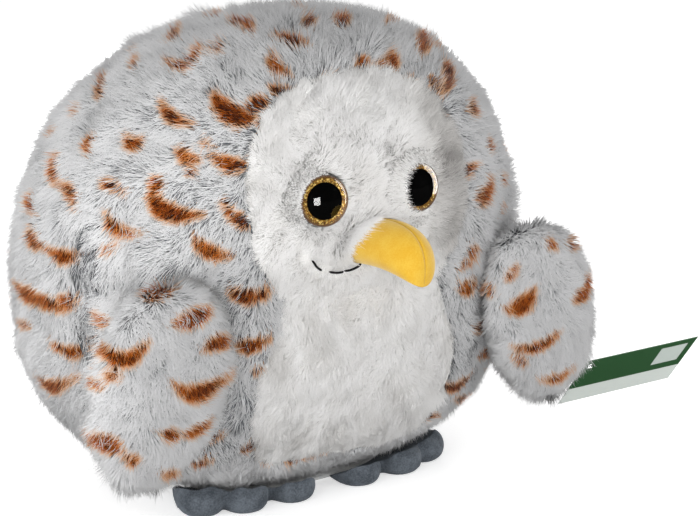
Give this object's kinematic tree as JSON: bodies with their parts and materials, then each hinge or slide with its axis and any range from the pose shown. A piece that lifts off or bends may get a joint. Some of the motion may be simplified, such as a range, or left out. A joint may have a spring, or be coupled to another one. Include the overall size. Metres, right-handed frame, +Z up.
{
  "type": "plush owl",
  "caption": "Round plush owl with long mottled fur, a white face and belly, safety eyes, a soft beak, hanging wings, toed feet, a hand tunnel from side to side and a bare card tag.",
  "frame": {"origin": "middle of the oval base panel's underside, on the table", "axes": "+Z up, the owl's face looks along -Y, and its own right side is -X"},
  "size_m": [0.5602, 0.3463, 0.352],
  "materials": {
    "mottled_fur": "long-pile polyester fur, white tips over grey roots, with printed rust-brown crescents",
    "white_fur": "dense creamy white polyester fur",
    "stuffing": "loose polyester fibre",
    "lining_pile": "short soft pile",
    "golden_pile": "short golden yellow pile",
    "grey_pile": "short dark blue-grey pile",
    "clear_lens": "clear moulded acrylic, polished",
    "clear_plastic": "clear nylon",
    "glitter_iris": "gold glitter film with a darker brown rim",
    "black_plastic": "black moulded plastic",
    "white_plastic": "white moulded plastic",
    "printed_card": "coated card, dark green band over a pale grey-green band, no lettering"
  },
  "bodies": {
    "body": {"right_eye_lens": "clear_lens", "right_eye_iris": "glitter_iris", "right_eye_pupil": "black_plastic", "right_eye_cup": "black_plastic", "right_eye_washer": "white_plastic", "left_eye_lens": "clear_lens", "left_eye_iris": "glitter_iris", "left_eye_pupil": "black_plastic", "left_eye_cup": "black_plastic", "left_eye_washer": "white_plastic", "body_stuffing": "stuffing", "back_cover": "mottled_fur", "face_panel": "white_fur", "belly_panel": "white_fur", "base_panel": "mottled_fur", "muff_lining": "lining_pile", "beak_right_panel": "golden_pile", "beak_left_panel": "golden_pile", "beak_stuffing": "stuffing"},
    "right_wing": {"right_wing_front_panel": "mottled_fur", "right_wing_rear_panel": "mottled_fur", "right_wing_stuffing": "stuffing"},
    "left_wing": {"left_wing_front_panel": "mottled_fur", "left_wing_rear_panel": "mottled_fur", "left_wing_stuffing": "stuffing", "tag_loop": "clear_plastic"},
    "right_foot": {"right_foot_upper": "grey_pile", "right_foot_sole": "grey_pile", "right_foot_stuffing": "stuffing"},
    "left_foot": {"left_foot_upper": "grey_pile", "left_foot_sole": "grey_pile", "left_foot_stuffing": "stuffing"},
    "tag": {"hang_tag": "printed_card"}
  },
  "joints": [
    {"name": "right_wing_flap", "type": "hinge", "parent": "body", "child": "right_wing", "pos_m": [-0.128, -0.11974, 0.195], "axis": [-0.866, 0.5, 0], "range_deg": [0, 75]},
    {"name": "left_wing_flap", "type": "hinge", "parent": "body", "child": "left_wing", "pos_m": [0.128, -0.11974, 0.195], "axis": [-0.866, -0.5, 0], "range_deg": [0, 75]},
    {"name": "right_foot_bend", "type": "hinge", "parent": "body", "child": "right_foot", "pos_m": [-0.064, -0.03, 0], "axis": [1, 0, 0], "range_deg": [0, 20]},
    {"name": "left_foot_bend", "type": "hinge", "parent": "body", "child": "left_foot", "pos_m": [0.064, -0.03, 0], "axis": [1, 0, 0], "range_deg": [0, 20]},
    {"name": "tag_swing", "type": "hinge", "parent": "left_wing", "child": "tag", "pos_m": [0.239, -0.09589, 0.05634], "axis": [0, 0.809, 0.5878], "range_deg": [-60, 8]}
  ]
}
